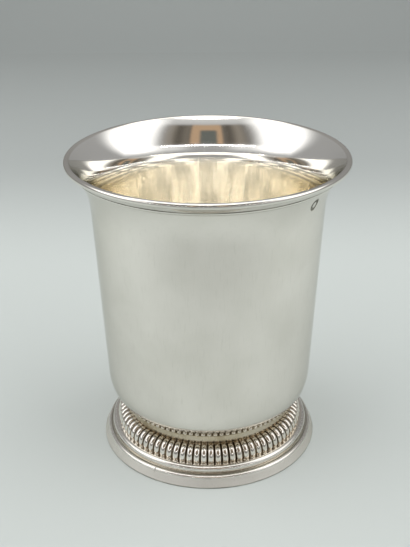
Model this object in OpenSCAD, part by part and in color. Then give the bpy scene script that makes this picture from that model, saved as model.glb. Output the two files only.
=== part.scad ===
// Footed silver tumbler: a spun bowl with a flared, moulded mouth, on a foot of soldered rings
// with pearls and gadroons. Millimetres, +Z up, origin at the centre of the underside of the base.

/* [Bowl] */
// Outer diameter of the mouth, over the lip bead
mouth_d = 84; // [80:0.5:90]
// Height of the bowl, from the underside of its bottom to the top of the lip
bowl_h = 79.1; // [66:0.1:100]
// Outer diameter of the wall at its lower end
body_d = 64.6; // [60:0.1:68]
// Outward lean of the straight wall, in degrees
wall_lean = 2.7; // [0:0.1:4]
// Radius of the outward flare under the lip
flare_r = 22.5; // [16:0.5:28]
// Radius of the rounding under the wall
corner_r = 14.6; // [10:0.1:18]
// How far that rounding turns in below the level, in degrees, before the tighter heel begins
corner_turn = 24; // [15:1:45]
// Radius of the heel between the rounding and the flat bottom
heel_r = 5; // [3:0.1:7]
// Thickness of the spun sheet
sheet_t = 0.7; // [0.5:0.05:1.2]

/* [Lip] */
// Diameter of the round bead along the edge of the mouth
bead_d = 1.8; // [1.4:0.1:2.6]
// Width of the moulded band that runs down the flare from the middle of the bead
band_w = 3.1; // [2:0.1:5]
// Thickness of the moulded band
band_t = 0.6; // [0.3:0.05:0.8]
// Diameter of the fine thread under the band
thread_d = 1.2; // [0.6:0.1:1.6]

/* [Pearls] */
// Number of pearls in the beaded wire
pearl_count = 94; // [60:1:102]
// Diameter of a pearl
pearl_d = 1.6; // [1.2:0.05:1.7]
// Diameter of the core that joins the pearls
pearl_core_d = 0.9; // [0.6:0.05:1.1]
// Depth of the flat that is filed under the pearls, as a share of a pearl's diameter
pearl_flat = 0.24; // [0.1:0.02:0.26]

/* [Collar] */
// Height of the collar, up to the pearls
collar_h = 3.9; // [2.8:0.1:5]
// Height of the collar's rim above its lower edge, as a share of the collar's height
rim_share = 0.36; // [0.25:0.01:0.6]
// How far the rim stands in from the middle of the pearls
rim_inset = 0.2; // [0:0.05:0.5]
// How far the collar is undercut from its rim to its lower edge
collar_undercut = 1.2; // [0.4:0.1:1.6]
// Height of the bowl's seat above the pearls' seat, as a share of a pearl's diameter
seat_rise = 0.7; // [0.4:0.05:0.7]
// Radial width of the bowl's seat
seat_w = 1.8; // [1:0.1:2.6]

/* [Gadroons] */
// Number of gadroons round the band
gadroon_count = 83; // [60:1:92]
// Height of the gadrooned band
gadroon_h = 4.95; // [4:0.05:7]
// How far the gadroons bulge out from the straight line between the band's edges
gadroon_bulge = 1.45; // [0.8:0.05:1.6]
// Width of one gadroon
gadroon_w = 1.74; // [1.2:0.02:1.8]
// Height of a gadroon above the ground between gadroons
gadroon_relief = 0.65; // [0.3:0.05:0.8]
// Thickness of the band's ground
ground_t = 0.9; // [0.5:0.1:1.4]
// Thickness of the flat ledge under the gadroons, over the top of the round wire
ledge_t = 0.15; // [0.1:0.05:0.6]
// Width of that ledge, from the top of the round wire in to the gadroons
ledge_w = 0.75; // [0.4:0.05:1.2]
// Radial width of the flange under the collar
top_flange_w = 1.3; // [0.8:0.1:2]
// Direction of the first gadroon's middle, in degrees from +X
first_gadroon = 271; // [267:0.5:275]

/* [Base] */
// Diameter of the base ring where it stands on the table
base_d = 69.2; // [64:0.2:76]
// Height of the base ring
base_h = 3.55; // [3.2:0.05:6]
// Height of the base ring's side, below its shoulder
side_h = 2.8; // [1.5:0.1:3.2]
// How far the side slants in from its foot to its top
side_slant = 1.1; // [0:0.1:1.6]
// How far the shoulder bulges out from the straight line between its edges
shoulder_bulge = 0.3; // [0.1:0.05:0.5]
// Radial width of the face that stands on the table
standing_w = 3; // [2:0.1:4]
// Thickness of the base ring's inner flange, under the round wire
flange_t = 1.3; // [0.8:0.1:2]
// Diameter of the round wire
wire_d = 2.4; // [1.8:0.1:3]
// Radial distance from the edge of the base to the middle of the round wire
wire_inset = 3.85; // [3.5:0.05:5]
// Depth of the round wire's seats, in the base ring and in the ledge
wire_seat = 0.15; // [0.05:0.05:0.4]
// Radial distance from the middle of the round wire to the shoulder's upper edge
groove_w = 1.6; // [1.2:0.05:1.8]
// Direction of the base ring's butt seam, in degrees from +X
seam_angle = 240; // [0:1:359]
// Width of the butt seam
seam_w = 0.12; // [0.05:0.01:0.3]
// Depth of the butt seam in the ring's side
seam_depth = 0.3; // [0.1:0.05:0.6]

/* [Solder] */
// Leg of the fillet between the collar and the bowl
bowl_fillet = 0.9; // [0.5:0.05:1]
// Thickness of the fillet behind the round wire
wire_fillet = 0.2; // [0.1:0.05:0.5]

/* [Hidden] */

// Facets of a full turn, of a wire and of one arc in an outline
$fn = 180;
wire_fn = 48;
arc_steps = 24;

// Sections along one pearl and corners of a section
pearl_steps = 4;
pearl_sides = 6;

// Where the sections of one gadroon stand, as shares of the pitch from groove to groove
gadroon_steps = [0, 0.16, 0.5, 0.84];
// Where the corners of a gadroon's section stand, as shares of its length from foot to head
gadroon_rows = [0, 0.08, 0.36, 0.64, 0.92, 1];
// Power that squares a gadroon's outline along its length: its ends are round but short
gadroon_end_power = 6;

// Overshoot of a cutter past the face that it cuts
cut_over = 1;

polished_silver = [0.86, 0.86, 0.83];
worked_silver = [0.74, 0.72, 0.66];
solder_silver = [0.66, 0.65, 0.6];

// Base ring and round wire, from the table up
base_r = base_d / 2;
wire_r = wire_d / 2;
wire_mid = [base_r - wire_inset, base_h - wire_seat + wire_r];
side_top = [base_r - side_slant, side_h];
groove_edge = [wire_mid[0] + groove_w, base_h];
flange_in_r = wire_mid[0] - wire_r - wire_fillet;

// Levels of the gadrooned band, of the collar and of the bowl's flat bottom
band_z = wire_mid[1] + wire_r - wire_seat;
collar_z = band_z + gadroon_h;
collar_top_z = collar_z + collar_h;
bowl_z = collar_top_z + seat_rise * pearl_d;

// Bottom of the bowl: the wall runs into the rounding, and that by the heel into the flat
wall_out = [cos(wall_lean), -sin(wall_lean)];
wall_up = [sin(wall_lean), cos(wall_lean)];
heel_offset = (corner_r - heel_r) * [cos(corner_turn), -sin(corner_turn)];
heel_mid = [body_d / 2 - corner_r * wall_out[0] + heel_offset[0], bowl_z + heel_r];
corner_mid = heel_mid - heel_offset;
wall_foot = corner_mid + corner_r * wall_out;
seat_in_r = heel_mid[0] - seat_w;

// Mouth of the bowl: the flare is tangent to the wall and runs into the lip bead
bead_r = bead_d / 2;
bead_mid = [mouth_d / 2 - bead_r, bowl_z + bowl_h - bead_r];
bead_reach = flare_r + sheet_t - bead_r;
to_bead = bead_mid - wall_foot - flare_r * wall_out;
wall_len = to_bead * wall_up - sqrt(bead_reach ^ 2 - (to_bead * wall_out) ^ 2);
flare_mid = wall_foot + wall_len * wall_up + flare_r * wall_out;
flare_start = 180 - wall_lean;
flare_end = angle_of(bead_mid - flare_mid);
band_end = flare_end + arc_angle(band_w, flare_r);
thread_mid = on_arc(flare_mid, flare_r, band_end + asin(thread_d / 2 / flare_r));

// Pearls: they sit on the collar and touch the bowl's heel
pearl_r = pearl_d / 2;
pearl_z = collar_top_z + pearl_r - pearl_flat * pearl_d;
pearl_mid_r = heel_mid[0] + sqrt((heel_r + pearl_r) ^ 2 - (heel_mid[1] - pearl_z) ^ 2);
pearl_pitch = 2 * PI * pearl_mid_r / pearl_count;

// Collar: under the pearls it comes down to its rim and from there in to the gadroons
collar_rim = [pearl_mid_r - rim_inset, collar_z + rim_share * collar_h];
collar_low_r = collar_rim[0] - collar_undercut;

// Gadroons: an arc from the ledge over the round wire to the underside of the collar
ledge_z = wire_mid[1] + wire_r + ledge_t;
gadroon_foot = [wire_mid[0] - ledge_w, ledge_z];
gadroon_head = [collar_low_r, collar_z];
gadroon_r = bulge_radius(gadroon_foot, gadroon_head, gadroon_bulge);
gadroon_mid = bulge_middle(gadroon_foot, gadroon_head, gadroon_bulge);
gadroon_a0 = angle_of(gadroon_foot - gadroon_mid);
gadroon_a1 = angle_of(gadroon_head - gadroon_mid);
ground_r = gadroon_r - gadroon_relief;
back_r = ground_r - ground_t;
gadroon_fill = gadroon_w / (PI * (gadroon_foot[0] + gadroon_head[0]) / gadroon_count);

// Angle of a direction, and angle that a length takes up on an arc
function angle_of(v) = atan2(v[1], v[0]);
function arc_angle(length, r) = length / r * 180 / PI;

// Point on an arc, and the points along it from angle a0 to angle a1
function on_arc(mid, r, a) = mid + r * [cos(a), sin(a)];
function arc(mid, r, a0, a1) = [for (i = [0 : arc_steps]) on_arc(mid, r, a0 + (a1 - a0) * i / arc_steps)];

// Radius and middle of the arc from p to q that bulges outwards by the given height
function bulge_radius(p, q, bulge) = (norm(q - p) ^ 2 / 4 + bulge ^ 2) / (2 * bulge);
function bulge_middle(p, q, bulge) =
    let (along = (q - p) / norm(q - p))
    (p + q) / 2 - (bulge_radius(p, q, bulge) - bulge) * [along[1], -along[0]];
function bulge_arc(p, q, bulge) =
    let (mid = bulge_middle(p, q, bulge))
    arc(mid, bulge_radius(p, q, bulge), angle_of(p - mid), angle_of(q - mid));

// Outer side of the bowl, from the middle of its bottom to its mouth
function bowl_outside() = concat(
    [[0, bowl_z]],
    arc(heel_mid, heel_r, -90, -corner_turn),
    arc(corner_mid, corner_r, -corner_turn, -wall_lean),
    arc(flare_mid, flare_r, flare_start, flare_end));

// Inner side of the bowl, from its mouth to the middle of its bottom
function bowl_inside() = concat(
    arc(flare_mid, flare_r + sheet_t, flare_end, flare_start),
    arc(corner_mid, corner_r - sheet_t, -wall_lean, -corner_turn),
    arc(heel_mid, heel_r - sheet_t, -corner_turn, -90),
    [[0, bowl_z + sheet_t]]);

// Half section of the bowl's sheet
module bowl_section() {
    polygon(concat(bowl_outside(), bowl_inside()));
}

// Half section of the bowl as if it were solid, for cutting the thread to it
module bowl_outline() {
    mouth = on_arc(flare_mid, flare_r, flare_end);
    polygon(concat(bowl_outside(), [[0, mouth[1]]]));
}

// Half section of the round wire
module wire_section() {
    translate(wire_mid) circle(d = wire_d, $fn = wire_fn);
}

// Closed ring through sections that all have as many corners, listed round the axis
module ring_through(sections) {
    n = len(sections);
    m = len(sections[0]);
    function corner(i, k) = (i % n) * m + k % m;
    faces = [for (i = [0 : n - 1], k = [0 : m - 1]) each [
        [corner(i, k), corner(i, k + 1), corner(i + 1, k + 1)],
        [corner(i, k), corner(i + 1, k + 1), corner(i + 1, k)]]];
    polyhedron([for (s = sections) each s], faces);
}

// Section corners, given as radius and height, turned to an angle round the axis
function turned(corners, a) = [for (p = corners) [p[0] * cos(a), p[0] * sin(a), p[1]]];

// Spun sheet bowl
module bowl() {
    color(polished_silver) rotate_extrude() bowl_section();
}

// Moulded wire round the mouth: a bead over the sheet's edge and a band down the flare
module lip_wire() {
    band = concat(
        arc(flare_mid, flare_r, flare_end, band_end),
        arc(flare_mid, flare_r - band_t, band_end, flare_end));
    inner_side = concat(
        arc(flare_mid, flare_r, flare_end, band_end),
        arc(flare_mid, flare_r + bead_d, band_end, flare_end));
    color(polished_silver) rotate_extrude() difference() {
        union() {
            translate(bead_mid) circle(d = bead_d, $fn = wire_fn);
            polygon(band);
        }
        bowl_section();
        polygon(inner_side);
    }
}

// Fine thread against the lower edge of the lip's band
module thread_wire() {
    color(polished_silver) rotate_extrude() difference() {
        translate(thread_mid) circle(d = thread_d, $fn = wire_fn);
        bowl_outline();
    }
}

// Radius of the beaded wire at a distance along it from the middle of a pearl
function pearl_radius(along) = max(pearl_core_d / 2, sqrt(max(0, pearl_r ^ 2 - along ^ 2)));

// Section of the beaded wire with the given radius, flat where it sits on the collar
function pearl_corners(r) = [for (k = [0 : pearl_sides - 1])
    let (p = on_arc([pearl_mid_r, pearl_z], r, k * 360 / pearl_sides))
    [p[0], max(p[1], collar_top_z)]];

// Beaded wire: a thin core that swells into pearls
module pearl_wire() {
    color(worked_silver) ring_through([
        for (i = [0 : pearl_count - 1], j = [0 : pearl_steps - 1])
            let (share = j / pearl_steps)
            turned(
                pearl_corners(pearl_radius(pearl_pitch * min(share, 1 - share))),
                (i + share) * 360 / pearl_count)]);
}

// Ring that carries the bowl on its raised inner seat, with the pearls outside, over an undercut rim
module collar() {
    ring = [
        [seat_in_r, collar_z],
        [collar_low_r, collar_z],
        collar_rim,
        [pearl_mid_r, collar_top_z],
        [heel_mid[0], collar_top_z],
        [heel_mid[0], bowl_z],
        [seat_in_r, bowl_z]];
    color(worked_silver) rotate_extrude() polygon(ring);
}

// Fillet of solder between the collar's inner side and the bowl's flat underside
module bowl_solder() {
    fillet = [
        [seat_in_r, bowl_z - bowl_fillet],
        [seat_in_r, bowl_z],
        [seat_in_r - bowl_fillet, bowl_z]];
    color(solder_silver) rotate_extrude() polygon(fillet);
}

// Height of a gadroon as a share of its relief: round across, and square with round ends along
function gadroon_lift(across, along) =
    let (
        round_across = sqrt(max(0, 1 - ((2 * across - 1) / gadroon_fill) ^ 2)),
        round_ends = sqrt(1 - abs(2 * along - 1) ^ gadroon_end_power))
    round_across * round_ends;

// Section of the gadrooned band at a share of the pitch: a seat on the round wire, the ledge,
// the gadroon over its ground, the flange under the collar and the hollow back
function gadroon_corners(across) =
    let (
        head_r = on_arc(gadroon_mid, ground_r, gadroon_a1)[0],
        back_foot_r = on_arc(gadroon_mid, back_r, gadroon_a0)[0],
        seat_edge = acos(sqrt(wire_r ^ 2 - (wire_r - wire_seat) ^ 2) / wire_r))
    concat(
        [[back_foot_r, band_z]],
        [on_arc(wire_mid, wire_r, 180 - seat_edge), on_arc(wire_mid, wire_r, 90)],
        [[wire_mid[0], ledge_z], gadroon_foot],
        [for (along = gadroon_rows) on_arc(
            gadroon_mid,
            ground_r + gadroon_relief * gadroon_lift(across, along),
            gadroon_a0 + (gadroon_a1 - gadroon_a0) * along)],
        [[head_r, collar_z], [head_r - top_flange_w, collar_z]],
        [on_arc(gadroon_mid, back_r, (gadroon_a0 + gadroon_a1) / 2)]);

// Struck band of gadroons, seated on the round wire
module gadroon_band() {
    color(worked_silver) ring_through([
        for (i = [0 : gadroon_count - 1], across = gadroon_steps)
            turned(gadroon_corners(across), first_gadroon + (i + across - 0.5) * 360 / gadroon_count)]);
}

// Plain round wire
module round_wire() {
    color(polished_silver) rotate_extrude() wire_section();
}

// Fillet of solder behind the round wire
module foot_solder() {
    fillet = [
        [wire_mid[0], base_h],
        [flange_in_r, base_h],
        [flange_in_r, band_z],
        [wire_mid[0], band_z]];
    color(solder_silver) rotate_extrude() difference() {
        polygon(fillet);
        wire_section();
    }
}

// Moulded ring that stands on the table, with the butt seam where its ends meet
module base_ring() {
    ring = concat(
        [[base_r - standing_w, 0], [base_r, 0]],
        bulge_arc(side_top, groove_edge, shoulder_bulge),
        [[flange_in_r, base_h], [flange_in_r, base_h - flange_t], [base_r - standing_w, base_h - flange_t]]);
    color(polished_silver) difference() {
        rotate_extrude() difference() {
            polygon(ring);
            wire_section();
        }
        rotate(seam_angle) translate([side_top[0] - seam_depth, -seam_w / 2, -cut_over])
            cube([seam_depth + side_slant + cut_over, seam_w, base_h + cut_over]);
    }
}

bowl();
lip_wire();
thread_wire();
pearl_wire();
collar();
bowl_solder();
gadroon_band();
round_wire();
foot_solder();
base_ring();
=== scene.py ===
"""Footed silver tumbler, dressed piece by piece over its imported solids.

Every piece is a section, given as radius and height, carried round the tumbler's axis. Lengths are in
metres and lie in the solids' own frame: +Z up, the origin on the table under the middle of the base, and
-Y towards the viewer.
"""

import math
from types import SimpleNamespace

import bpy
import numpy as np
from bpy.props import FloatProperty, FloatVectorProperty, IntProperty, PointerProperty, StringProperty
from mathutils import Matrix, Vector


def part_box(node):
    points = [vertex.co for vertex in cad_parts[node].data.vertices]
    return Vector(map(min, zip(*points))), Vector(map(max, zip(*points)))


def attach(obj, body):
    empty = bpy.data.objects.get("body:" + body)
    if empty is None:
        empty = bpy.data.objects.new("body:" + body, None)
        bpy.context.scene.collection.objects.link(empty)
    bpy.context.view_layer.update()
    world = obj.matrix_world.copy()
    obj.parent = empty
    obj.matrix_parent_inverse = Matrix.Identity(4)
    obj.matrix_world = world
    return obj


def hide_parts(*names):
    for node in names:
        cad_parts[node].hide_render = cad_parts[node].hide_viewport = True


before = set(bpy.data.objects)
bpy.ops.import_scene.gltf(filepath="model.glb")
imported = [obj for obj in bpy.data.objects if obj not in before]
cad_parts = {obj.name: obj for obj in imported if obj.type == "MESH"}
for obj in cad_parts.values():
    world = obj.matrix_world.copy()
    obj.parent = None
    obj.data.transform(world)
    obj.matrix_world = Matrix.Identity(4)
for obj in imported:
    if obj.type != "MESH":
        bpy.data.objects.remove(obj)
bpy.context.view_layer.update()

bl_info = {
    "name": "Silver tumbler",
    "version": (1, 0, 0),
    "blender": (4, 5, 0),
    "location": "3D View > Sidebar > Tumbler",
    "description": "Builds a footed silver tumbler and a light tent to see it in",
    "category": "Add Mesh",
}

MM = 0.001
BODY = "root"
FRONT = -math.pi / 2
SHARP_ANGLE = math.radians(40)
# Steps of a full turn: finer where the lip and the foot mirror the tent in narrow lines
TURN_STEPS = 240
FINE_TURN_STEPS = 288
# What each point of a silver piece carries for its finish and its painted light, from 0 to 1
POINT_VALUES = ("tarnish", "dull", "rippled", "clean")
# The tent is a dome round a point near the tumbler's mouth, with its lamps just inside it
DOME_HEIGHT = 90 * MM
DOME_RADIUS = 2.5
LAMP_RADIUS = 2.4


def millimetres(name, description, value):
    """Length that a user can change, given in millimetres."""
    return FloatProperty(name=name, description=description, default=value * MM, unit="LENGTH")


def degrees(name, description, value):
    """Angle that a user can change, given in degrees."""
    return FloatProperty(name=name, description=description, default=math.radians(value), subtype="ANGLE")


def hex_code(name, description, value):
    """Colour that a user can change, given as an sRGB hex code."""
    return StringProperty(name=name, description=description, default=value)


class TumblerSizes(bpy.types.PropertyGroup):
    """Sizes of the tumbler that the boxes of its solids don't give."""

    wall_lean: degrees("Wall lean", "Outward lean of the bowl's straight wall", 2.7)
    flare_radius: millimetres("Flare radius", "Radius of the outward flare under the lip", 22.5)
    corner_radius: millimetres("Corner radius", "Radius of the rounding under the wall", 14.6)
    corner_turn: degrees(
        "Corner turn", "Turn of that rounding below the level, where the tighter heel begins", 24)
    heel_radius: millimetres(
        "Heel radius", "Radius of the heel between the rounding and the flat bottom", 5)
    body_radius: millimetres("Body radius", "Outer radius of the wall at its lower end", 32.3)
    sheet: millimetres("Sheet", "Thickness of the spun sheet", 0.7)
    bead: millimetres("Lip bead", "Radius of the round bead along the mouth", 0.9)
    band_width: millimetres(
        "Lip band width", "Width of the band down the flare from the middle of the bead", 3.1)
    band_thickness: millimetres("Lip band thickness", "Thickness of the band on the flare", 0.6)
    thread: millimetres("Thread", "Radius of the fine thread under the band", 0.6)
    mark_angle: degrees("Mark angle", "Turn of the blank punch mark from the front, towards +X", 53.5)
    mark_height: millimetres("Mark height", "Height of the blank punch mark above the table", 86.7)
    mark_half_width: millimetres("Mark half width", "Half the width of the blank punch mark", 1.45)
    mark_half_height: millimetres("Mark half height", "Half the height of the blank punch mark", 1.6)
    mark_depth: millimetres("Mark depth", "Depth of the blank punch mark", 0.06)
    pearl_count: IntProperty(name="Pearls", description="Number of pearls in the beaded wire", default=94)
    pearl: millimetres("Pearl", "Radius of a pearl", 0.8)
    pearl_core: millimetres("Pearl core", "Radius of the core between pearls", 0.4)
    pearl_flat: millimetres("Pearl flat", "Depth of the flat under the pearls", 0.384)
    rim_share: FloatProperty(
        name="Rim share", description="Height of the collar's rim as a share of the collar's height",
        default=0.36)
    rim_inset: millimetres(
        "Rim inset", "Distance of the collar's rim in from the middle of the pearls", 0.2)
    undercut: millimetres("Undercut", "Undercut of the collar from its rim to its lower edge", 1.2)
    gadroon_count: IntProperty(
        name="Gadroons", description="Number of gadroons round the band", default=83)
    gadroon_bulge: millimetres(
        "Gadroon bulge", "Bulge of the gadroons out of the band's straight line", 1.45)
    gadroon_width: millimetres("Gadroon width", "Width of one gadroon", 1.8)
    gadroon_relief: millimetres(
        "Gadroon relief", "Height of a gadroon above the ground between gadroons", 0.7)
    gadroon_turn: degrees("Gadroon turn", "Turn of the first gadroon from the front, towards +X", 1)
    ground: millimetres("Ground", "Thickness of the gadrooned band's ground", 0.9)
    ledge: millimetres("Ledge", "Thickness of the ledge over the round wire", 0.15)
    ledge_width: millimetres(
        "Ledge width", "Width of the ledge from the top of the round wire in to the gadroons", 0.75)
    top_flange: millimetres("Top flange", "Width of the band's flange under the collar", 1.3)
    side_height: millimetres("Side height", "Height of the base ring's side", 2.8)
    side_slant: millimetres("Side slant", "Inward slant of the base ring's side", 1.1)
    shoulder_bulge: millimetres("Shoulder bulge", "Bulge of the base ring's shoulder", 0.3)
    groove: millimetres(
        "Groove", "Distance from the round wire's middle to the shoulder's upper edge", 1.6)
    standing_width: millimetres("Standing width", "Width of the face that stands on the table", 3)
    base_flange: millimetres("Base flange", "Thickness of the base ring's inner flange", 1.3)
    flange_lap: millimetres("Flange lap", "Reach of that flange in past the round wire", 0.2)
    seam_turn: degrees("Seam turn", "Turn of the base ring's butt seam from the front, towards +X", -30)
    seam_half_width: millimetres("Seam half width", "Half the width of the butt seam", 0.08)
    seam_depth: millimetres("Seam depth", "Depth of the butt seam", 0.25)


class TumblerColours(bpy.types.PropertyGroup):
    """Colours of the silver and of the light tent, as sRGB hex values."""

    silver: hex_code("Silver", "Clean polished silver", "EFEBE4")
    # Painted light: a brighter, whiter copy of the silver that lightens the inside of the cup
    clean: hex_code("Clean silver", "Silver inside the cup, out of reach", "FEFCF7")
    edge_tint: hex_code("Edge tint", "Tint of silver seen along its surface", "E8E8E6")
    grey_film: hex_code("Grey film", "Thin grey film on the sheet", "B9B6AA")
    # Also the dark grey of the painted shade in the lip's crease, round the thread, along the punch mark's
    # edge and where the bowl meets the pearls
    grey_shade_line: hex_code("Grey line", "Dark grey tarnish in the lip's lines", "45433C")
    film: hex_code("Film", "Thin golden film of tarnish on the foot", "BFAF93")
    # Also the brown of the painted shade under the round wire, in the base ring's groove, under the pearls
    # and round the ring's edge on the table
    tarnish: hex_code("Tarnish", "Brown tarnish in the foot's hollows", "483C2E")
    solder: hex_code("Solder", "Dull hard solder", "A7A398")
    # Painted light: the floor is paler round the tumbler, and painted shade makes it greyer to the front
    # and back
    floor_front_shaded: hex_code("Front floor", "Floor towards the viewer", "BBC0BD")
    floor_near_lit: hex_code("Near floor", "Floor round the tumbler", "C9CFCC")
    floor_far_shaded: hex_code("Far floor", "Floor and backdrop at the back", "AEB3B1")
    room_dark: hex_code("Dark room", "Dim room in front of the tent", "706A62")
    room_warm: hex_code("Warm frame", "Frame of a doorway in that room", "B2977C")
    room_cool: hex_code("Cool gap", "Gap of that doorway", "646763")


class TumblerStage(bpy.types.PropertyGroup):
    """Camera and light tent."""

    camera_place: FloatVectorProperty(
        name="Camera", description="Place of the camera", default=(0, -254.6 * MM, 176.5 * MM),
        subtype="TRANSLATION", unit="LENGTH")
    camera_pitch: degrees("Pitch", "Downward tilt of the camera", 25.37)
    camera_yaw: degrees("Yaw", "Turn of the camera towards +X", -0.23)
    camera_roll: degrees("Roll", "Roll of the camera", 0.43)
    camera_lens: FloatProperty(
        name="Lens", description="Focal length for a 36 mm long side, in millimetres", default=59.68)
    tent_front_half: millimetres("Front half width", "Half the width of the tent's open front", 300)
    tent_back_half: millimetres("Back half width", "Half the width of the tent at its back", 500)
    tent_front: millimetres("Tent front", "Distance of the tent's open front from the tumbler", 400)
    tent_height: millimetres("Tent height", "Height of the top panel", 560)
    side_radiance: FloatProperty(
        name="Side light", description="Radiance of the side panels, where 1 is white", default=1.5)
    top_radiance: FloatProperty(
        name="Top light", description="Radiance of the top panel, where 1 is white", default=0.75)
    strip_radiance: FloatProperty(
        name="Lamp rows", description="Radiance of the small lamps in the tent's front", default=16)


def srgb(code):
    """Linear RGBA of an sRGB hex code.

    A channel c becomes ((c + 0.055) / 1.055) ** 2.4, or c / 12.92 where it is dark.
    """
    channels = np.array([int(code[i:i + 2], 16) for i in (0, 2, 4)]) / 255
    linear = np.where(channels > 0.04045, ((channels + 0.055) / 1.055) ** 2.4, channels / 12.92)
    return (*linear.tolist(), 1.0)


def add_node(tree, kind, inputs=None, **settings):
    """Adds one shader node with its settings. Inputs maps a socket to a value or to what feeds it.

    A node among the inputs stands for its first output.
    """
    node = tree.nodes.new("ShaderNode" + kind)
    for name, value in settings.items():
        setattr(node, name, value)
    for key, value in (inputs or {}).items():
        if isinstance(value, bpy.types.Node):
            value = value.outputs[0]
        if isinstance(value, bpy.types.NodeSocket):
            tree.links.new(value, node.inputs[key])
        else:
            node.inputs[key].default_value = value
    return node


def new_material(name):
    """A material with no nodes yet, and its node tree."""
    material = bpy.data.materials.new(name)
    material.use_nodes = True
    material.node_tree.nodes.clear()
    return material, material.node_tree


def on_arc(middle, radius, angle):
    """Points at the given angles on a circle: the middle plus the radius times (cos, sin)."""
    return np.stack((middle[0] + radius * np.cos(angle), middle[1] + radius * np.sin(angle)), axis=-1)


def arc(middle, radius, start, end, count):
    """Evenly spaced points on a circle, from one angle to another."""
    return on_arc(middle, radius, np.linspace(start, end, count))


def line(start, end, count):
    """Evenly spaced points from start up to, but not including, end."""
    share = np.linspace(0, 1, count, endpoint=False)[:, None]
    return np.asarray(start) * (1 - share) + np.asarray(end) * share


def angle_of(vector):
    """Angle of a direction from the radius towards the height."""
    return math.atan2(vector[1], vector[0])


def bulge_circle(start, end, bulge):
    """Middle and radius of the circle through start and end that stands out from their chord by bulge."""
    along = end - start
    chord = np.hypot(*along)
    radius = (chord ** 2 / 4 + bulge ** 2) / (2 * bulge)
    inward = np.array([-along[1], along[0]]) / chord
    return (start + end) / 2 + (radius - bulge) * inward, radius


def smoothstep(low, high, value):
    """0 below low, 1 above high and 3 t^2 - 2 t^3 between, where t runs from 0 to 1."""
    t = np.clip((value - low) / (high - low), 0, 1)
    return t * t * (3 - 2 * t)


def bell(distance, width):
    """exp(-(distance / width)^2): 1 at no distance, and almost 0 at twice the width."""
    return np.exp(-(distance / width) ** 2)


def bell_at(section, point, width):
    """That bell over the distance of each point of a section from one point."""
    return bell(np.hypot(*(section - point).T), width)


def even_turn(count):
    """Angles of a full turn in equal steps, from the front."""
    return FRONT + np.arange(count) * 2 * math.pi / count


def turn_from(centre, angles):
    """Turn from one direction to each of the angles, between -pi and pi."""
    return np.angle(np.exp(1j * (angles - centre)))


def fine_near(angles, centre, half_span, count):
    """The angles with more of them added in a short span round one direction, in order."""
    extra = centre + np.linspace(-half_span, half_span, count)
    clear = np.abs(turn_from(centre, angles)) > half_span
    return np.sort(turn_from(0, np.concatenate((angles[clear], extra))))


def turned(sections, angles):
    """Sections carried round the axis: x = r cos a, y = r sin a, z = height."""
    sections = np.broadcast_to(sections, (len(angles), *sections.shape[-2:]))
    radius, height = sections[..., 0], sections[..., 1]
    return np.stack((radius * np.cos(angles)[:, None], radius * np.sin(angles)[:, None], height), axis=-1)


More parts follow.
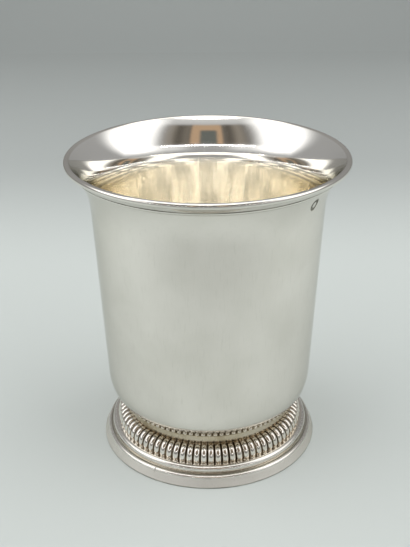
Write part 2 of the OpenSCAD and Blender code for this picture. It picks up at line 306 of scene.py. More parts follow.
def layout(scene):
    """The sizes, with the section's radii, heights and circles from them and the solids' boxes."""
    sizes = scene.tumbler_sizes
    at = SimpleNamespace()
    wire_low, wire_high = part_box("round_wire")
    band_low, band_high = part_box("gadroon_band")
    lip_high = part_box("lip_wire")[1]
    at.base_r, at.base_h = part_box("base_ring")[1].x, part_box("foot_solder")[0].z
    at.wire_r = (wire_high.z - wire_low.z) / 2
    at.wire_mid = np.array([wire_high.x - at.wire_r, wire_low.z + at.wire_r])
    at.band_z, at.collar_z = band_low.z, band_high.z
    at.collar_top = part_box("pearl_wire")[0].z
    at.bowl_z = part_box("bowl")[0].z
    at.seat_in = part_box("bowl_solder")[1].x

    out = np.array([math.cos(sizes.wall_lean), -math.sin(sizes.wall_lean)])
    up = np.array([math.sin(sizes.wall_lean), math.cos(sizes.wall_lean)])
    heel_offset = on_arc((0, 0), sizes.corner_radius - sizes.heel_radius, -sizes.corner_turn)
    corner_r = sizes.body_radius - sizes.corner_radius * out[0]
    at.heel_mid = np.array([corner_r + heel_offset[0], at.bowl_z + sizes.heel_radius])
    at.corner_mid = at.heel_mid - heel_offset
    wall_foot = at.corner_mid + sizes.corner_radius * out
    at.bead_mid = np.array([lip_high.x - sizes.bead, lip_high.z - sizes.bead])
    to_bead = at.bead_mid - wall_foot - sizes.flare_radius * out
    at.bead_reach = sizes.flare_radius + sizes.sheet - sizes.bead
    wall = to_bead @ up - math.sqrt(at.bead_reach ** 2 - (to_bead @ out) ** 2)
    at.flare_mid = wall_foot + wall * up + sizes.flare_radius * out
    at.flare_start = math.pi - sizes.wall_lean
    at.flare_end = angle_of(at.bead_mid - at.flare_mid)
    at.band_end = at.flare_end + sizes.band_width / sizes.flare_radius
    thread_turn = math.asin(sizes.thread / sizes.flare_radius)
    at.thread_mid = on_arc(at.flare_mid, sizes.flare_radius, at.band_end + thread_turn)
    at.thread_foot = at.band_end + 2 * thread_turn

    at.pearl_z = at.collar_top + sizes.pearl - sizes.pearl_flat
    pearl_reach = (sizes.heel_radius + sizes.pearl) ** 2 - (at.heel_mid[1] - at.pearl_z) ** 2
    at.pearl_mid = np.array([at.heel_mid[0] + math.sqrt(pearl_reach), at.pearl_z])
    rim_z = at.collar_z + sizes.rim_share * (at.collar_top - at.collar_z)
    at.collar_rim = np.array([at.pearl_mid[0] - sizes.rim_inset, rim_z])
    at.collar_low = at.collar_rim[0] - sizes.undercut

    at.ledge_z = at.wire_mid[1] + at.wire_r + sizes.ledge
    at.gadroon_foot = np.array([at.wire_mid[0] - sizes.ledge_width, at.ledge_z])
    at.gadroon_head = np.array([at.collar_low, at.collar_z])
    at.gadroon_mid, at.gadroon_r = bulge_circle(at.gadroon_foot, at.gadroon_head, sizes.gadroon_bulge)
    at.gadroon_start = angle_of(at.gadroon_foot - at.gadroon_mid)
    at.gadroon_end = angle_of(at.gadroon_head - at.gadroon_mid)
    at.flange_in = at.wire_mid[0] - at.wire_r - sizes.flange_lap
    return sizes, at


def quads_of(number):
    """Four-sided faces between neighbours in a grid of vertex numbers."""
    return np.stack((number[:-1, :-1], number[1:, :-1], number[1:, 1:], number[:-1, 1:]), axis=-1)


def grid_mesh(name, grid, poles):
    """Mesh over a grid of points, turn by section, that closes round the axis.

    A section is a closed loop, joined last to first, or with poles an open line whose two ends lie on the
    axis and become one vertex each. Returns the mesh and the grid's numbers for its vertices.
    """
    turns, corners = grid.shape[:2]
    number = np.arange(turns * corners).reshape(turns, corners)
    points = grid.reshape(-1, 3)
    if poles:
        inner = corners - 2
        number = np.empty((turns, corners), int)
        number[:, 1:-1] = np.arange(turns * inner).reshape(turns, inner)
        number[:, 0] = turns * inner
        number[:, -1] = turns * inner + 1
        points = np.concatenate((grid[:, 1:-1].reshape(-1, 3), grid[:1, 0], grid[:1, -1]))
    quads = quads_of(np.pad(number, ((0, 1), (0, 1)), mode="wrap"))
    faces = quads.reshape(-1, 4).tolist()
    if poles:
        first = quads[:, 0][:, [0, 2, 3]]
        last = quads[:, -2][:, [0, 1, 2]]
        faces = quads[:, 1:-2].reshape(-1, 4).tolist() + first.tolist() + last.tolist()
    mesh = bpy.data.meshes.new(name)
    mesh.from_pydata(points.tolist(), [], faces)
    mesh.shade_smooth()
    mesh.set_sharp_from_angle(angle=SHARP_ANGLE)
    return mesh, number


def add_object(name, data):
    """An object that holds the data, in the scene."""
    thing = bpy.data.objects.new(name, data)
    bpy.context.scene.collection.objects.link(thing)
    return thing


def add_piece(name, grid, tarnish, material, node, dull=0.0, rippled=0.0, clean=0.0, poles=False):
    """Adds a piece that stands for a solid, whose points carry POINT_VALUES."""
    mesh, number = grid_mesh(name, grid, poles)
    for attribute, amount in zip(POINT_VALUES, (tarnish, dull, rippled, clean)):
        values = np.zeros(len(mesh.vertices), np.float32)
        values[number] = np.broadcast_to(amount, number.shape)
        mesh.attributes.new(attribute, "FLOAT", "POINT").data.foreach_set("value", values)
    mesh.materials.append(material)
    mesh.update()
    piece = add_object(name, mesh)
    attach(piece, BODY)
    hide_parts(node)


def silver_finish(name, roughness, smudge, scratch, film_colour, tarnish_and_shade_colour):
    """Polished silver: a warm white mirror, dulled by smudges and hairlines, grey or brown with tarnish and
    with painted shade.

    The smudges are clouds about 9 mm across in a haze of 22 mm. The hairlines are streaks 0.25 mm by
    14 mm, and a fainter grain of polishing lines 0.2 mm apart runs round the axis. All are coarser than on
    the real metal, so that they show. Where the sheet is rippled, upright hollows about 5 mm wide draw the
    reflections out into streaks.
    """
    if name in bpy.data.materials:
        return bpy.data.materials[name]
    colours = bpy.context.scene.tumbler_colours
    material, tree = new_material(name)
    place = add_node(tree, "TexCoord").outputs["Object"]
    tarnish, dull, rippled, clean = (
        add_node(tree, "Attribute", attribute_name=value).outputs["Fac"] for value in POINT_VALUES)

    clouds = add_node(tree, "TexNoise", {"Vector": place, "Scale": 1 / (9 * MM), "Detail": 4.0})
    streak_place = add_node(tree, "Mapping", {
        "Vector": place, "Rotation": (0.5, 0.35, 0.2),
        "Scale": (1 / (0.25 * MM), 1 / (0.25 * MM), 1 / (14 * MM))})
    streaks = add_node(tree, "TexNoise", {"Vector": streak_place, "Scale": 1.0, "Detail": 1.0})
    hairlines = add_node(tree, "MapRange", {"Value": streaks, "From Min": 0.62, "From Max": 0.72})
    line_place = add_node(tree, "Mapping", {
        "Vector": place, "Scale": (1 / (20 * MM), 1 / (20 * MM), 1 / (0.2 * MM))})
    polish = add_node(tree, "TexNoise", {"Vector": line_place, "Scale": 1.0, "Detail": 2.0})

    # A little of the tarnish and painted shade is a film, and more of it hides the metal
    patchy = add_node(tree, "Math", {0: clouds, 1: tarnish}, operation="MULTIPLY")
    depth = add_node(tree, "MapRange", {"Value": patchy, "From Max": 0.5})
    thin = add_node(tree, "MapRange", {"Value": depth, "From Max": 0.5})
    thick = add_node(tree, "MapRange", {"Value": depth, "From Min": 0.4})
    breath = add_node(tree, "TexNoise", {"Vector": place, "Scale": 1 / (22 * MM), "Detail": 5.0})
    worn = add_node(tree, "Math", {0: hairlines, 1: 0.15, 2: breath}, operation="MULTIPLY_ADD")
    haze = add_node(tree, "MapRange", {
        "Value": worn, "From Min": 0.38, "From Max": 0.7, "To Max": 0.3})
    colour = srgb(colours.silver)
    for share, code in (
            (haze, film_colour), (clean, colours.clean), (thin, film_colour), (thick, tarnish_and_shade_colour)):
        mix = add_node(tree, "Mix", {0: share, 6: colour, 7: srgb(code)}, data_type="RGBA")
        colour = mix.outputs[2]

    rough = add_node(tree, "MapRange", {
        "Value": clouds, "From Min": 0.3, "From Max": 0.7,
        "To Min": roughness, "To Max": roughness + smudge})
    for cause, amount in ((hairlines, scratch), (depth, 0.35), (dull, 0.3)):
        rough = add_node(tree, "Math", {0: cause, 1: amount, 2: rough}, operation="MULTIPLY_ADD")

    ripple_place = add_node(tree, "Mapping", {
        "Vector": place, "Scale": (1 / (5 * MM), 1 / (5 * MM), 1 / (60 * MM))})
    ripples = add_node(tree, "TexNoise", {"Vector": ripple_place, "Scale": 1.0, "Detail": 1.0})
    hollows = add_node(tree, "Bump", {
        "Height": ripples, "Strength": rippled, "Distance": 0.16 * MM})
    waves = add_node(tree, "Bump", {"Height": clouds, "Distance": 0.02 * MM, "Normal": hollows})
    grain = add_node(tree, "Bump", {
        "Height": polish, "Strength": 0.4, "Distance": 0.002 * MM, "Normal": waves})
    shader = add_node(tree, "BsdfPrincipled", {
        "Base Color": colour, "Metallic": 1.0, "Specular Tint": srgb(colours.edge_tint),
        "Roughness": rough, "Normal": grain})
    add_node(tree, "OutputMaterial", {"Surface": shader})
    return material


def spun_silver():
    """Silver sheet, spun, planished and polished: the clearest mirror, with smudges from handling."""
    colours = bpy.context.scene.tumbler_colours
    return silver_finish("spun_silver_polished", 0.035, 0.05, 0.1, colours.grey_film, colours.grey_shade_line)


def struck_silver():
    """Silver struck in a die: bright on the crowns, never polished in the hollows."""
    colours = bpy.context.scene.tumbler_colours
    return silver_finish("struck_silver_tarnished", 0.09, 0.06, 0.05, colours.film, colours.tarnish)


def drawn_silver():
    """Silver wire and strip, drawn through a plate and polished after bending."""
    colours = bpy.context.scene.tumbler_colours
    return silver_finish("drawn_silver_polished", 0.08, 0.1, 0.15, colours.grey_film, colours.tarnish)


def solder_silver():
    """Hard solder as it froze: pale grey, matt and lumpy."""
    name = "hard_solder_matt"
    if name in bpy.data.materials:
        return bpy.data.materials[name]
    material, tree = new_material(name)
    place = add_node(tree, "TexCoord").outputs["Object"]
    lumps = add_node(tree, "TexNoise", {"Vector": place, "Scale": 1 / (0.8 * MM), "Detail": 3.0})
    rough = add_node(tree, "MapRange", {
        "Value": lumps, "From Min": 0.3, "From Max": 0.7, "To Min": 0.35, "To Max": 0.6})
    bump = add_node(tree, "Bump", {"Height": lumps, "Distance": 0.08 * MM})
    shader = add_node(tree, "BsdfPrincipled", {
        "Base Color": srgb(bpy.context.scene.tumbler_colours.solder), "Metallic": 1.0,
        "Roughness": rough, "Normal": bump})
    add_node(tree, "OutputMaterial", {"Surface": shader})
    return material


def bowl_section(sizes, at):
    """The sheet from the middle of its underside, up the outside, over the edge and down the inside."""
    flat_steps, heel_steps, corner_steps, wall_steps = 10, 20, 16, 36
    corner, heel, flare = sizes.corner_radius, sizes.heel_radius, sizes.flare_radius
    wall_foot = on_arc(at.corner_mid, corner, -sizes.wall_lean)
    wall_head = on_arc(at.flare_mid, flare, at.flare_start)
    # The flare's points lie closer together over the height of the mark
    mark_low = sizes.mark_height - 1.3 * sizes.mark_half_height
    mark_high = sizes.mark_height + 1.3 * sizes.mark_half_height
    flare_angles = at.flare_start + (at.flare_end - at.flare_start) * np.linspace(0, 1, 97)
    flare_z = at.flare_mid[1] + flare * np.sin(flare_angles)
    mark_z = np.linspace(mark_low, mark_high, 41)
    mark_angles = math.pi - np.arcsin((mark_z - at.flare_mid[1]) / flare)
    clear = (flare_z < mark_low) | (flare_z > mark_high)
    flare_angles = -np.sort(-np.concatenate((flare_angles[clear], mark_angles)))
    inner_corner, inner_heel, inner_flare = corner - sizes.sheet, heel - sizes.sheet, flare + sizes.sheet
    inner_foot = on_arc(at.corner_mid, inner_corner, -sizes.wall_lean)
    inner_head = on_arc(at.flare_mid, inner_flare, at.flare_start)
    inner_z = at.bowl_z + sizes.sheet
    return np.concatenate((
        line((0, at.bowl_z), (at.heel_mid[0], at.bowl_z), flat_steps),
        arc(at.heel_mid, heel, -math.pi / 2, -sizes.corner_turn, heel_steps)[:-1],
        arc(at.corner_mid, corner, -sizes.corner_turn, -sizes.wall_lean, corner_steps)[:-1],
        line(wall_foot, wall_head, wall_steps),
        on_arc(at.flare_mid, flare, flare_angles),
        arc(at.flare_mid, inner_flare, at.flare_end, at.flare_start, 40)[:-1],
        line(inner_head, inner_foot, wall_steps),
        arc(at.corner_mid, inner_corner, -sizes.wall_lean, -sizes.corner_turn, corner_steps)[:-1],
        arc(at.heel_mid, inner_heel, -sizes.corner_turn, -math.pi / 2, heel_steps)[:-1],
        line((at.heel_mid[0], inner_z), (0, inner_z), flat_steps),
        [(0, inner_z)],
    ))


class TUMBLER_OT_bowl(bpy.types.Operator):
    """Add the spun bowl, with a blank oval punch mark under its lip"""

    bl_idname = "tumbler.bowl"
    bl_label = "Bowl"

    def execute(self, context):
        sizes, at = layout(context.scene)
        section = bowl_section(sizes, at)
        height = section[:, 1]
        outside = np.arange(len(section)) <= np.argmax(height)
        mark_turn = FRONT + sizes.mark_angle
        mark_r = float(np.interp(sizes.mark_height, height[outside], section[outside, 0]))
        angles = fine_near(even_turn(TURN_STEPS), mark_turn, 1.6 * sizes.mark_half_width / mark_r, 45)
        grid = turned(section, angles)

        # The mark is a sunk oval: distance 1 is its edge, and its floor is flat inside 0.7
        across = turn_from(mark_turn, angles) * mark_r / sizes.mark_half_width
        up = (height - sizes.mark_height) / sizes.mark_half_height
        distance = np.sqrt(across[:, None] ** 2 + up[None, :] ** 2)
        dent = sizes.mark_depth * smoothstep(1.0, 0.7, distance) * outside
        grid[..., :2] *= 1 - (dent / np.maximum(section[:, 0], MM))[..., None]

        # Painted shade lies in a line under the thread, in another where the bowl meets the pearls and
        # along the mark's edge
        under_thread = on_arc(at.flare_mid, sizes.flare_radius, at.thread_foot)[1] - 0.12 * MM
        lines = np.maximum(bell(height - under_thread, 0.28 * MM), bell(height - at.pearl_z, 0.7 * MM))
        off_bottom = outside * (section[:, 0] > 20 * MM)
        edge = smoothstep(0.42, 0.22, np.abs(distance - 0.85)) * outside
        # Inside, the cup is bright at the mouth and less so where the buff can't reach
        deep = ~outside * smoothstep(at.flare_mid[1] + 2 * MM, at.flare_mid[1] - 12 * MM, height)
        # Painted light: the inside takes the brighter copy of the silver
        add_piece(
            "bowl_sheet", grid, np.maximum(lines * off_bottom, edge), spun_silver(), "bowl",
            dull=0.25 * outside + 0.03 * deep, rippled=deep, clean=~outside, poles=True)
        return {"FINISHED"}


class TUMBLER_OT_mouth(bpy.types.Operator):
    """Add the moulded lip and the fine thread under it"""

    bl_idname = "tumbler.mouth"
    bl_label = "Lip and thread"

    def execute(self, context):
        sizes, at = layout(context.scene)
        flare = sizes.flare_radius
        band_r = flare - sizes.band_thickness
        # The bead's circle meets the band's face where the two circles cross
        crossing = math.acos(
            (at.bead_reach ** 2 + band_r ** 2 - sizes.bead ** 2) / (2 * at.bead_reach * band_r))
        band_start = at.flare_end + crossing
        meet = on_arc(at.flare_mid, band_r, band_start)
        bead_start = angle_of(meet - at.bead_mid)
        band_back = on_arc(at.flare_mid, flare, at.band_end)
        band_foot = on_arc(at.flare_mid, band_r, at.band_end)
        section = np.concatenate((
            arc(at.flare_mid, flare, at.flare_end, at.band_end, 10)[:-1],
            line(band_back, band_foot, 3),
            arc(at.flare_mid, band_r, at.band_end, band_start, 14)[:-1],
            arc(at.bead_mid, sizes.bead, bead_start, at.flare_end, 40),
        ))
        # Painted shade in the crease where the band meets the bead, and along the band's lower edge over
        # the thread
        crease, foot = bell_at(section, meet, 0.2 * MM), bell_at(section, band_foot, 0.45 * MM)
        tarnish = np.maximum(0.5 * crease, foot)
        angles = even_turn(FINE_TURN_STEPS)
        add_piece("lip_moulding", turned(section, angles), tarnish, spun_silver(), "lip_wire")

        thread_steps = 24
        thread_start = angle_of(band_back - at.thread_mid)
        thread = arc(at.thread_mid, sizes.thread, thread_start - math.pi, thread_start, thread_steps)
        # Painted shade where the thread meets the flare, at both of its edges
        tarnish = smoothstep(0.4, 0.8, np.abs(np.linspace(-1, 1, thread_steps)))
        add_piece("lip_thread", turned(thread, angles), tarnish, spun_silver(), "thread_wire")
        return {"FINISHED"}


class TUMBLER_OT_pearls(bpy.types.Operator):
    """Add the beaded wire between the bowl and its collar"""

    bl_idname = "tumbler.pearls"
    bl_label = "Pearls"

    def execute(self, context):
        sizes, at = layout(context.scene)
        steps, sides = 12, 18
        share = np.tile(np.arange(steps) / steps, sizes.pearl_count)
        pitch = 2 * math.pi * at.pearl_mid[0] / sizes.pearl_count
        along = pitch * np.minimum(share, 1 - share)
        # A pearl's radius at a distance along the wire: sqrt(R^2 - distance^2), and no less than the core's
        radius = np.maximum(np.sqrt(np.maximum(sizes.pearl ** 2 - along ** 2, 0)), sizes.pearl_core)
        around = np.arange(sides) * 2 * math.pi / sides
        sections = at.pearl_mid + radius[:, None, None] * on_arc((0, 0), 1, around)
        sections[..., 1] = np.maximum(sections[..., 1], at.collar_top)
        angles = even_turn(sizes.pearl_count * steps)
        # Painted shade darkens the valleys between pearls, their undersides and their sides towards the
        # axis, over a light film of tarnish everywhere
        valley = smoothstep(0.8, 0.5, radius / sizes.pearl)[:, None]
        low = smoothstep(-0.1, -0.7, np.sin(around))[None, :]
        back = smoothstep(-0.3, -0.9, np.cos(around))[None, :]
        tarnish = np.maximum(np.maximum(np.maximum(valley, low), back), 0.22)
        add_piece("pearl_ring", turned(sections, angles), tarnish, struck_silver(), "pearl_wire")
        return {"FINISHED"}


class TUMBLER_OT_collar(bpy.types.Operator):
    """Add the collar that the bowl stands on"""

    bl_idname = "tumbler.collar"
    bl_label = "Collar"

    def execute(self, context):
        sizes, at = layout(context.scene)
        low_edge = at.gadroon_head
        high_edge = np.array([at.pearl_mid[0], at.collar_top])
        seat_foot, seat_edge = (at.heel_mid[0], at.collar_top), (at.heel_mid[0], at.bowl_z)
        # The rim is a small rounding: a curve that leaves the undercut and runs into the side above it
        share = np.linspace(0, 1, 9)[:, None]
        start = at.collar_rim + 0.3 * (low_edge - at.collar_rim)
        end = at.collar_rim + 0.3 * (high_edge - at.collar_rim)
        rim = start * (1 - share) ** 2 + 2 * at.collar_rim * share * (1 - share) + end * share ** 2
        section = np.concatenate((
            line((at.seat_in, at.collar_z), low_edge, 4),
            line(low_edge, start, 6),
            rim[:-1],
            line(end, high_edge, 8),
            line(high_edge, seat_foot, 5),
            line(seat_foot, seat_edge, 3),
            line(seat_edge, (at.seat_in, at.bowl_z), 4),
            line((at.seat_in, at.bowl_z), (at.seat_in, at.collar_z), 6),
        ))
        height = (section[:, 1] - at.collar_z) / (at.collar_top - at.collar_z)
        outer = section[:, 0] > at.collar_low - 0.1 * MM
        # A film of tarnish over the collar's face, lighter on the undercut, and painted shade darkening its
        # top where the pearls sit
        side = 0.38 - 0.2 * smoothstep(0.3, 0.1, height)
        tarnish = np.maximum(side, smoothstep(0.8, 1.0, height)) * outer
        add_piece("bowl_collar", turned(section, even_turn(TURN_STEPS)), tarnish, struck_silver(), "collar")
        return {"FINISHED"}


class TUMBLER_OT_gadroons(bpy.types.Operator):
    """Add the struck band of gadroons"""

    bl_idname = "tumbler.gadroons"
    bl_label = "Gadroons"

    def execute(self, context):
        sizes, at = layout(context.scene)
        pitch = 2 * math.pi / sizes.gadroon_count
        mean_r = (at.gadroon_foot[0] + at.gadroon_head[0]) / 2
        fill = sizes.gadroon_width / (pitch * mean_r)
        # Shares of the pitch, closer together in the groove than on the crown
        half = np.array([0.0, 0.05, 0.09, 0.14, 0.21, 0.3, 0.4])
        across = np.concatenate((half, [0.5], 1 - half[:0:-1]))
        along = 0.5 - 0.5 * np.cos(np.linspace(0, math.pi, 26))

        # A gadroon's lift: a half circle across its width, times short round ends along its length
        lift = np.sqrt(np.maximum(0, 1 - ((2 * across - 1) / fill) ** 2))[:, None]
        ends = np.sqrt(1 - np.abs(2 * along - 1) ** np.where(along < 0.5, 16, 8))
        groove = smoothstep(0.62, 0.2, lift)
        lift = lift * ends[None, :]
        ground_r = at.gadroon_r - sizes.gadroon_relief
        back_r = ground_r - sizes.ground
        arc_angles = at.gadroon_start + (at.gadroon_end - at.gadroon_start) * along
        front = on_arc(at.gadroon_mid, ground_r + sizes.gadroon_relief * lift, arc_angles)

        head_r = on_arc(at.gadroon_mid, ground_r, at.gadroon_end)[0]
        back_foot_r = on_arc(at.gadroon_mid, back_r, at.gadroon_start)[0]
        wire_top = at.wire_mid[1] + at.wire_r
        below = np.array([
            (back_foot_r, at.band_z), (at.wire_mid[0], wire_top), (at.wire_mid[0], at.ledge_z),
            at.gadroon_foot])
        behind = np.concatenate((
            [(head_r, at.collar_z), (head_r - sizes.top_flange, at.collar_z)],
            arc(at.gadroon_mid, back_r, at.gadroon_end, at.gadroon_start, 8)[1:-1],
        ))
        count = len(across)
        plain_below, plain_behind = (np.tile(points, (count, 1, 1)) for points in (below, behind))
        sections = np.concatenate((plain_below, front, plain_behind), axis=1)
        first = FRONT + sizes.gadroon_turn
        angles = first + ((np.arange(sizes.gadroon_count)[:, None] + across - 0.5) * pitch).ravel()
        grid = turned(np.tile(sections, (sizes.gadroon_count, 1, 1)), angles)

        # Tarnish in the hollows between gadroons, and a little painted shade on their heads under the
        # collar
        in_groove = np.maximum(groove, 0.06 * smoothstep(0.7, 0.95, along)[None, :])
        on_ledge, hidden = np.full((count, len(below)), 0.06), np.full((count, len(behind)), 0.5)
        tarnish = np.tile(np.concatenate((on_ledge, in_groove, hidden), axis=1), (sizes.gadroon_count, 1))
        add_piece("gadroon_ring", grid, tarnish, struck_silver(), "gadroon_band")
        return {"FINISHED"}


class TUMBLER_OT_base(bpy.types.Operator):
    """Add the round wire and the moulded base ring, with the hairline seam where the ring's ends meet"""

    bl_idname = "tumbler.base"
    bl_label = "Base"

    def execute(self, context):
        sizes, at = layout(context.scene)
        around = np.linspace(0, 2 * math.pi, 40, endpoint=False)
        wire = turned(on_arc(at.wire_mid, at.wire_r, around), even_turn(FINE_TURN_STEPS))
        # Painted shade on the wire's underside, down in the groove over the base ring
        tarnish = smoothstep(0.9, 1.0, -np.sin(around))
        add_piece("round_ring", wire, tarnish, drawn_silver(), "round_wire", dull=0.2)

        side_top = np.array([at.base_r - sizes.side_slant, sizes.side_height])
        groove_edge = np.array([at.wire_mid[0] + sizes.groove, at.base_h])
        middle, radius = bulge_circle(side_top, groove_edge, sizes.shoulder_bulge)
        inner_r = at.base_r - sizes.standing_width
        flange_z = at.base_h - sizes.base_flange
        edge = 0.35 * MM
        slant = math.atan2(sizes.side_slant, sizes.side_height)
        section = np.concatenate((
            line((inner_r, 0), (at.base_r - edge, 0), 6),
            arc((at.base_r - edge, edge), edge, -math.pi / 2, slant, 6),
            line((at.base_r - edge * math.sin(slant), 1.6 * edge), side_top, 14)[1:],
            arc(middle, radius, angle_of(side_top - middle), angle_of(groove_edge - middle), 16),
            line(groove_edge, (at.flange_in, at.base_h), 6)[1:],
            line((at.flange_in, at.base_h), (at.flange_in, flange_z), 4),
            line((at.flange_in, flange_z), (inner_r, flange_z), 3),
            line((inner_r, flange_z), (inner_r, 0), 5),
        ))
        height = section[:, 1]
        outer = section[:, 0] > at.base_r - edge
        seam = FRONT + sizes.seam_turn
        angles = fine_near(even_turn(FINE_TURN_STEPS), seam, 4 * sizes.seam_half_width / at.base_r, 17)
        shown = smoothstep(side_top[1] - 0.9 * MM, side_top[1], height)
        shown = shown * (section[:, 0] > groove_edge[0] - edge)
        dent = bell(turn_from(seam, angles) * at.base_r, sizes.seam_half_width)[:, None] * shown[None, :]
        grid = turned(section, angles)
        grid[..., :2] *= 1 - (sizes.seam_depth / at.base_r * dent)[..., None]
        # Painted shade in the groove under the round wire, and a painted contact shadow round the ring's
        # outer edge on the table; the seam is a dark joint
        lines = np.maximum(0.6 * bell_at(section, groove_edge, 0.3 * MM), bell(height, 0.3 * MM) * outer)
        satin = 0.2 + 0.8 * smoothstep(side_top[1] + 0.1 * MM, side_top[1] - 0.2 * MM, height)
        tarnish = np.maximum(lines[None, :], 0.9 * dent)
        add_piece("base_moulding", grid, tarnish, drawn_silver(), "base_ring", dull=satin)
        return {"FINISHED"}


class TUMBLER_OT_solder(bpy.types.Operator):
    """Add the two fillets of solder inside the foot"""

    bl_idname = "tumbler.solder"
    bl_label = "Solder"

    def execute(self, context):
        _, at = layout(context.scene)
        angles = even_turn(TURN_STEPS)
        # The fillets swell and thin a little round the foot, as solder does when it runs
        swell = 1 + 0.18 * np.sin(5 * angles + 0.4) + 0.12 * np.sin(13 * angles)
        swell = swell + 0.06 * np.sin(29 * angles + 1)

        low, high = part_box("bowl_solder")
        leg = high.z - low.z
        corner = np.array([high.x, high.z])
        share = np.linspace(0, 1, 9)
        hollow = 0.2 * leg * np.sin(math.pi * share)
        face = np.stack((hollow - leg * share, hollow - leg * (1 - share)), axis=-1)
        face = corner + swell[:, None, None] * face
        fillet = np.concatenate((face[:, ::-1], np.tile(corner, (len(angles), 1, 1))), axis=1)
        add_piece("bowl_solder_seam", turned(fillet, angles), 0.0, solder_silver(), "bowl_solder")

        behind = np.linspace(math.pi * 0.72, math.pi * 1.28, 13)
        wire_side = on_arc(at.wire_mid, at.wire_r, behind)
        inner = at.wire_mid[0] - at.wire_r - (0.12 * MM) * swell
        back = np.stack(np.broadcast_arrays(inner[:, None], wire_side[:, 1]), axis=-1)
        fillet = np.concatenate((back, np.tile(wire_side[::-1], (len(angles), 1, 1))), axis=1)
        add_piece("foot_solder_seam", turned(fillet, angles), 0.0, solder_silver(), "foot_solder")
        return {"FINISHED"}


def add_panel(name, place, target, size, radiance):
    """Soft panel: an area lamp turned to a target, with the power that gives its area the radiance."""
    lamp = bpy.data.lights.new(name, "AREA")
    lamp.shape = "RECTANGLE"
    lamp.size, lamp.size_y = size
    lamp.energy = radiance * math.pi * size[0] * size[1]
    panel = add_object(name, lamp)
    turn = (target - place).to_track_quat("-Z", "Y").to_matrix().to_4x4()
    panel.matrix_world = Matrix.Translation(place) @ turn
    panel.visible_glossy = False


def paper_material(name, colours):
    """Seamless paper, matt, with a faint tooth, its colour painting a pool of light round the tumbler and
    shade greyer to the front and back.
    """
    material, tree = new_material(name)
    place = add_node(tree, "TexCoord").outputs["Object"]
    depth = add_node(tree, "SeparateXYZ", {0: place}).outputs["Y"]
    colour = srgb(colours.floor_front_shaded)
    # Painted light: paler paper round the tumbler, and painted shade greyer towards the front and the back
    for start, end, code in ((-0.16, -0.04, colours.floor_near_lit), (0.12, 0.29, colours.floor_far_shaded)):
        share = add_node(tree, "MapRange", {
            "Value": depth, "From Min": start, "From Max": end}, interpolation_type="SMOOTHSTEP")
        mix = add_node(tree, "Mix", {0: share, 6: colour, 7: srgb(code)}, data_type="RGBA")
        colour = mix.outputs[2]
    tooth = add_node(tree, "TexNoise", {"Vector": place, "Scale": 1 / (0.6 * MM), "Detail": 2.0})
    bump = add_node(tree, "Bump", {"Height": tooth, "Strength": 0.1, "Distance": 0.05 * MM})
    shader = add_node(tree, "BsdfPrincipled", {
        "Base Color": colour, "Roughness": 0.9, "Normal": bump})
    add_node(tree, "OutputMaterial", {"Surface": shader})
    return material


def tent_material(name):
    """Cloth of the light tent and its lamps, glowing by the amount that each point of the mesh carries."""
    material, tree = new_material(name)
    glow = add_node(tree, "Attribute", attribute_name="glow").outputs["Color"]
    shader = add_node(tree, "Emission", {"Color": glow})
    add_node(tree, "OutputMaterial", {"Surface": shader})
    return material


def tent_glow(azimuth, elevation, colours):
    """Light from each direction, in degrees from the front and above the level, where 1 is white.

    Grey cloth at the back and above, a bright panel at either side, a bright ceiling that starts over the
    opening, and a grey flap low in front with a dim foot. Between flap and ceiling is the opening, through
    which a dim room is seen, in upright stripes and with a doorway.
    """
    aside = np.abs(azimuth)
    behind = np.clip(aside - 90, 0, 60) / 30
    forward = np.cos(np.radians(azimuth)) * np.cos(np.radians(elevation))
    low = smoothstep(9, 16, elevation) * smoothstep(24, 20, elevation)
    panel = smoothstep(40, 76, aside) * smoothstep(136, 94, aside)
    panel = panel * smoothstep(0, 1, (elevation - 8 - 12 * behind) / (12 + 13 * behind))
    panel = panel * smoothstep(75, 50, elevation)
    corner = smoothstep(10, 36, aside) * smoothstep(96, 70, aside) * low
    flap = smoothstep(60, 45, aside) * low
    ceiling = smoothstep(64, 69, elevation + 10 * smoothstep(0.1, -0.3, forward))
    dim = smoothstep(9, 3, elevation) * smoothstep(50, 25, aside)
    cloth = 0.33 + 0.2 * smoothstep(50, 62, elevation) - 0.14 * dim
    cloth = cloth + 1.25 * panel + 0.35 * corner + 0.03 * flap + 1.1 * ceiling
    opening = smoothstep(60, 34, aside) * smoothstep(21, 24, elevation) * smoothstep(58, 53, elevation)
    opening = opening[..., None]
    stripes = 1 + 0.5 * np.sin(np.radians(14 * azimuth + 40)) * np.cos(np.radians(5 * azimuth - 20))
    room = np.array(srgb(colours.room_dark)[:3]) * stripes[..., None]
    # The doorway is a warm frame round a cool gap: middle, half width and upper edge of each in degrees
    for middle, half, upper, code in ((1, 17, 60, colours.room_warm), (-1, 9, 46, colours.room_cool)):
        share = smoothstep(half + 2, half - 2, np.abs(azimuth - middle))
        share = (share * smoothstep(upper + 2, upper - 2, elevation))[..., None]
        room = room * (1 - share) + np.array(srgb(code)[:3]) * share
    return cloth[..., None] * (1 - opening) + room * opening


def glowing_mesh(name, points, faces, glow):
    """Mesh whose points carry their glow as a colour."""
    mesh = bpy.data.meshes.new(name)
    mesh.from_pydata(points.tolist(), [], faces.tolist())
    colour = np.concatenate((glow, np.ones((len(glow), 1))), axis=1)
    mesh.attributes.new("glow", "FLOAT_COLOR", "POINT").data.foreach_set("color", colour.ravel())
    return mesh


def on_dome(azimuth, elevation, radius):
    """Points of a dome in the given directions, in degrees from the front and above the level.

    x = R cos e sin a, y = -R cos e cos a and z = R sin e, above the dome's height.
    """
    a, e = np.radians(azimuth), np.radians(elevation)
    points = radius * np.stack((np.cos(e) * np.sin(a), -np.cos(e) * np.cos(a), np.sin(e)), axis=-1)
    return points + (0, 0, DOME_HEIGHT)


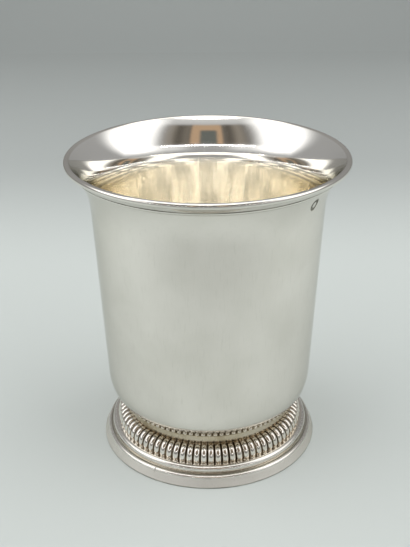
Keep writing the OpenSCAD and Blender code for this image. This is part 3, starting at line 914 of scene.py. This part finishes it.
def tent_dome(colours):
    """Dome of the tent, from 4 degrees under the level almost up to the zenith."""
    azimuth, elevation = np.meshgrid(np.arange(-180, 180, 1.5), np.linspace(-4, 89.5, 64), indexing="ij")
    number = np.arange(azimuth.size).reshape(azimuth.shape)
    faces = quads_of(np.pad(number, ((0, 1), (0, 0)), mode="wrap")).reshape(-1, 4)
    points = on_dome(azimuth, elevation, DOME_RADIUS).reshape(-1, 3)
    return glowing_mesh("tent_dome", points, faces, tent_glow(azimuth, elevation, colours).reshape(-1, 3))


def lamp_rows(radiance):
    """Two rows of small square lamps in the tent's front, one over the opening and one under it."""
    azimuth = np.arange(-48, 48.1, 3.2)
    corners = 0.55 * np.array([(-1, -1), (1, -1), (1, 1), (-1, 1)])
    middles = np.concatenate([np.stack((azimuth, np.full_like(azimuth, e)), axis=-1) for e in (67.5, 20.5)])
    directions = (middles[:, None] + corners).reshape(-1, 2)
    points = on_dome(directions[:, 0], directions[:, 1], LAMP_RADIUS)
    faces = np.arange(len(points)).reshape(-1, 4)
    return glowing_mesh("lamp_rows", points, faces, np.full((len(points), 3), radiance))


def sheet_mesh(name, line_points, half_width):
    """Strip of paper: a line of (depth, height) points carried sideways from -half_width to half_width."""
    across, depth = np.meshgrid(np.linspace(-half_width, half_width, 9), line_points[:, 0], indexing="ij")
    grid = np.stack((across, depth, np.broadcast_to(line_points[:, 1], depth.shape)), axis=-1)
    number = np.arange(depth.size).reshape(depth.shape)
    mesh = bpy.data.meshes.new(name)
    mesh.from_pydata(grid.reshape(-1, 3).tolist(), [], quads_of(number).reshape(-1, 4).tolist())
    mesh.shade_smooth()
    return mesh


class TUMBLER_OT_stage(bpy.types.Operator):
    """Add the paper floor and backdrop, the tent that only reflections see, soft panels and the camera"""

    bl_idname = "tumbler.stage"
    bl_label = "Stage"

    def execute(self, context):
        scene = context.scene
        stage = scene.tumbler_stage
        colours = scene.tumbler_colours

        bend, back, reach = 0.35, 0.6, 2.0
        paper = paper_material("paper_pale_matt", colours)
        floor_line = np.array([(-reach, 0), (back, 0)])
        bend_line = np.concatenate((arc((back, bend), bend, -math.pi / 2, 0, 16), [(back + bend, reach)]))
        for name, sheet_line in (("paper_floor", floor_line), ("paper_backdrop", bend_line)):
            sheet = add_object(name, sheet_mesh(name, sheet_line, reach))
            sheet.data.materials.append(paper)
        sheet.visible_glossy = False

        # Only reflections see the tent itself; the panels below light the paper for it
        glowing = tent_material("tent_cloth_and_lamps")
        for mesh in (tent_dome(colours), lamp_rows(stage.strip_radiance)):
            mesh.materials.append(glowing)
            tent = add_object(mesh.name, mesh)
            tent.visible_camera = False
            tent.visible_diffuse = False
            tent.visible_shadow = False

        front, back_y, top = -stage.tent_front, 0.4, stage.tent_height
        for sign, name in ((-1, "left_panel"), (1, "right_panel")):
            fore = Vector((sign * stage.tent_front_half, front, top / 2))
            aft = Vector((sign * stage.tent_back_half, back_y, top / 2))
            outward = (aft - fore).cross(Vector((0, 0, sign)))
            middle = (fore + aft) / 2
            add_panel(name, middle, middle - outward, ((aft - fore).length, top), stage.side_radiance)
        middle = Vector((0, (front + back_y) / 2, top))
        size = (2 * stage.tent_back_half, back_y - front)
        add_panel("top_panel", middle, middle - Vector((0, 0, 1)), size, stage.top_radiance)

        fill = 0.35
        world = bpy.data.worlds.new("tent_fill")
        world.use_nodes = True
        world.node_tree.nodes["Background"].inputs["Color"].default_value = (fill, fill, fill, 1)
        scene.world = world

        pitch, yaw, roll = stage.camera_pitch, stage.camera_yaw, stage.camera_roll
        ahead = Vector((math.sin(yaw) * math.cos(pitch), math.cos(yaw) * math.cos(pitch), -math.sin(pitch)))
        right = Vector((math.cos(yaw), -math.sin(yaw), 0))
        down = ahead.cross(right)
        across = math.cos(roll) * right + math.sin(roll) * down
        upward = math.sin(roll) * right - math.cos(roll) * down
        camera = add_object("camera", bpy.data.cameras.new("camera"))
        camera.data.lens = stage.camera_lens
        camera.data.sensor_width = 36
        camera.data.clip_start = 0.01
        turn = Matrix((across, upward, -ahead)).transposed().to_4x4()
        camera.matrix_world = Matrix.Translation(stage.camera_place) @ turn
        scene.camera = camera

        scene.view_settings.view_transform = "Standard"
        # Silver shows itself many times over inside the bowl
        scene.cycles.max_bounces = 24
        scene.cycles.glossy_bounces = 24
        return {"FINISHED"}


class TUMBLER_PT_build(bpy.types.Panel):
    """Sizes, colours and steps of the tumbler"""

    bl_idname = "TUMBLER_PT_build"
    bl_label = "Silver tumbler"
    bl_space_type = "VIEW_3D"
    bl_region_type = "UI"
    bl_category = "Tumbler"

    def draw(self, context):
        for step in STEPS:
            self.layout.operator(step.bl_idname)
        for group_name in GROUPS:
            group = getattr(context.scene, group_name)
            box = self.layout.box()
            for name in group.__annotations__:
                box.prop(group, name)


STEPS = (
    TUMBLER_OT_stage,
    TUMBLER_OT_bowl,
    TUMBLER_OT_mouth,
    TUMBLER_OT_pearls,
    TUMBLER_OT_collar,
    TUMBLER_OT_gadroons,
    TUMBLER_OT_base,
    TUMBLER_OT_solder,
)
GROUPS = {
    "tumbler_sizes": TumblerSizes,
    "tumbler_colours": TumblerColours,
    "tumbler_stage": TumblerStage,
}
CLASSES = (*GROUPS.values(), *STEPS, TUMBLER_PT_build)


def register():
    for cls in CLASSES:
        bpy.utils.register_class(cls)
    for name, group in GROUPS.items():
        setattr(bpy.types.Scene, name, PointerProperty(type=group))


def unregister():
    for name in GROUPS:
        delattr(bpy.types.Scene, name)
    for cls in reversed(CLASSES):
        bpy.utils.unregister_class(cls)


def main():
    register()
    bpy.ops.tumbler.stage()
    bpy.ops.tumbler.bowl()
    bpy.ops.tumbler.mouth()
    bpy.ops.tumbler.pearls()
    bpy.ops.tumbler.collar()
    bpy.ops.tumbler.gadroons()
    bpy.ops.tumbler.base()
    bpy.ops.tumbler.solder()


if __name__ == "__main__":
    main()
